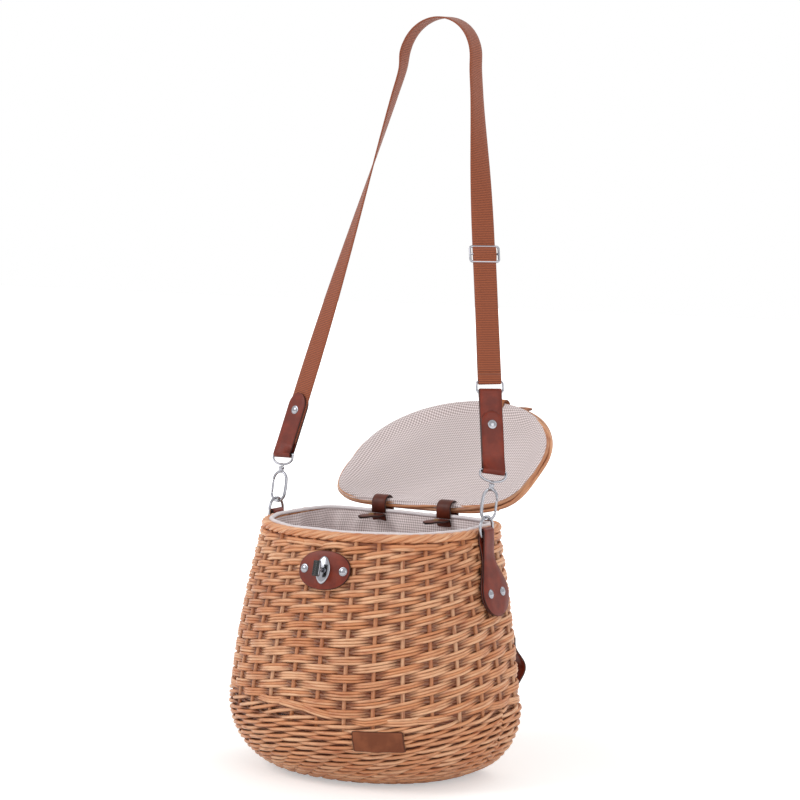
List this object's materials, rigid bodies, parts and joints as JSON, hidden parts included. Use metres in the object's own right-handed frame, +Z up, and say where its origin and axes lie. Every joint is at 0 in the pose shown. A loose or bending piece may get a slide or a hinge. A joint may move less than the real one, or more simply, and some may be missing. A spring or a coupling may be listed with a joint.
{
  "type": "wicker basket bag",
  "caption": "Wicker basket bag with a D-shaped body, hinged lid, leather hasp and turn lock, checked cotton lining and a long adjustable webbing strap on snap hooks.",
  "frame": {"origin": "on the floor under the basket, at the middle of its width and behind the middle of its depth, in the plane of its flat base", "axes": "+Z up, the front with the lock faces -Y, the lid hinges on the +Y side, +X is the side of the strap's slider"},
  "size_m": [0.3079, 0.4115, 0.7628],
  "materials": {
    "peeled_willow": "smooth peeled willow with a soft varnish",
    "brown_leather": "smooth waxed red-brown leather",
    "dark_leather": "smooth dark brown leather",
    "brown_webbing": "ribbed woven webbing",
    "checked_cotton": "matt checked cotton",
    "nickel": "bright nickel plate",
    "black_enamel": "gloss black enamel"
  },
  "bodies": {
    "basket": {"base_weave": "peeled_willow", "base_band": "peeled_willow", "wall_weave": "peeled_willow", "rim_border": "peeled_willow", "hinge_strap_left": "dark_leather", "hinge_strap_right": "dark_leather", "lock_patch": "brown_leather", "label_plate": "brown_leather", "side_tab_left": "brown_leather", "side_tab_right": "brown_leather", "back_strap_left": "brown_leather", "back_strap_right": "brown_leather", "rim_tape": "checked_cotton", "lining": "checked_cotton", "lock_plate": "nickel", "hinge_rivet_inner_left": "nickel", "hinge_rivet_inner_right": "nickel", "hinge_rivet_outer_left": "nickel", "hinge_rivet_outer_right": "nickel", "lock_rivet_left": "nickel", "lock_rivet_right": "nickel", "tab_rivet_left_front": "nickel", "tab_rivet_left_back": "nickel", "tab_rivet_right_front": "nickel", "tab_rivet_right_back": "nickel", "back_stud_left_low": "nickel", "back_stud_left_high": "nickel", "back_stud_right_low": "nickel", "back_stud_right_high": "nickel"},
    "lid": {"lid_border": "peeled_willow", "lid_weave": "peeled_willow", "lid_lining": "checked_cotton"},
    "hasp": {"hasp_tab": "brown_leather", "hasp_plate": "nickel"},
    "turn_knob": {"turn_knob": "black_enamel"},
    "strap": {"ring_left": "nickel", "ring_right": "nickel", "swivel_eye_left": "nickel", "swivel_eye_right": "nickel", "strap_end_left": "brown_leather", "strap_end_right": "brown_leather", "strap_rivet_left": "nickel", "strap_rivet_right": "nickel", "webbing": "brown_webbing", "webbing_tail": "brown_webbing", "rect_ring": "nickel"},
    "slider": {"slider": "nickel"},
    "hook_left": {"hook_left": "nickel"},
    "hook_right": {"hook_right": "nickel"},
    "gate_left": {"gate_left": "nickel"},
    "gate_right": {"gate_right": "nickel"}
  },
  "joints": [
    {"name": "lid_hinge", "type": "hinge", "parent": "basket", "child": "lid", "pos_m": [0, 0.0725, 0.2597], "axis": [1, 0, 0], "range_deg": [0, 146.2], "deforming": ["webbing", "webbing_tail", "strap_end_left", "strap_end_right"]},
    {"name": "hasp_fold", "type": "hinge", "parent": "lid", "child": "hasp", "pos_m": [0.01, 0.2134, 0.3512], "axis": [1, 0, 0], "range_deg": [-66, 107.5]},
    {"name": "turn_lock", "type": "hinge", "parent": "basket", "child": "turn_knob", "pos_m": [0.0102, -0.1109, 0.21735], "axis": [0.0411, -0.9588, 0.281], "range_deg": [0, 90]},
    {"name": "strap_swing", "type": "hinge", "parent": "basket", "child": "strap", "pos_m": [0, 0.004, 0.2545], "axis": [-1, 0, 0], "range_deg": [-80, 45]},
    {"name": "hook_left_swivel", "type": "hinge", "parent": "strap", "child": "hook_left", "pos_m": [-0.1285, 0.004, 0.2545], "axis": [0, 0.2317, 0.9728], "range_deg": [-25, 25]},
    {"name": "hook_right_swivel", "type": "hinge", "parent": "strap", "child": "hook_right", "pos_m": [0.1285, 0.004, 0.2545], "axis": [0, 0.2317, 0.9728], "range_deg": [-25, 25]},
    {"name": "gate_left_turn", "type": "hinge", "parent": "hook_left", "child": "gate_left", "pos_m": [-0.1365, 0.00785, 0.27065], "axis": [0, 0.9728, -0.2317], "range_deg": [0, 20], "stiffness_Nm_per_rad": 0.01},
    {"name": "gate_right_turn", "type": "hinge", "parent": "hook_right", "child": "gate_right", "pos_m": [0.1365, 0.00785, 0.27065], "axis": [0, -0.9728, 0.2317], "range_deg": [0, 20], "stiffness_Nm_per_rad": 0.01},
    {"name": "slider_slide", "type": "slide", "parent": "strap", "child": "slider", "axis": [-0.1998, 0.2338, 0.9516], "range_m": [-0.05, 0.05], "deforming": ["webbing_tail", "webbing"]}
  ]
}
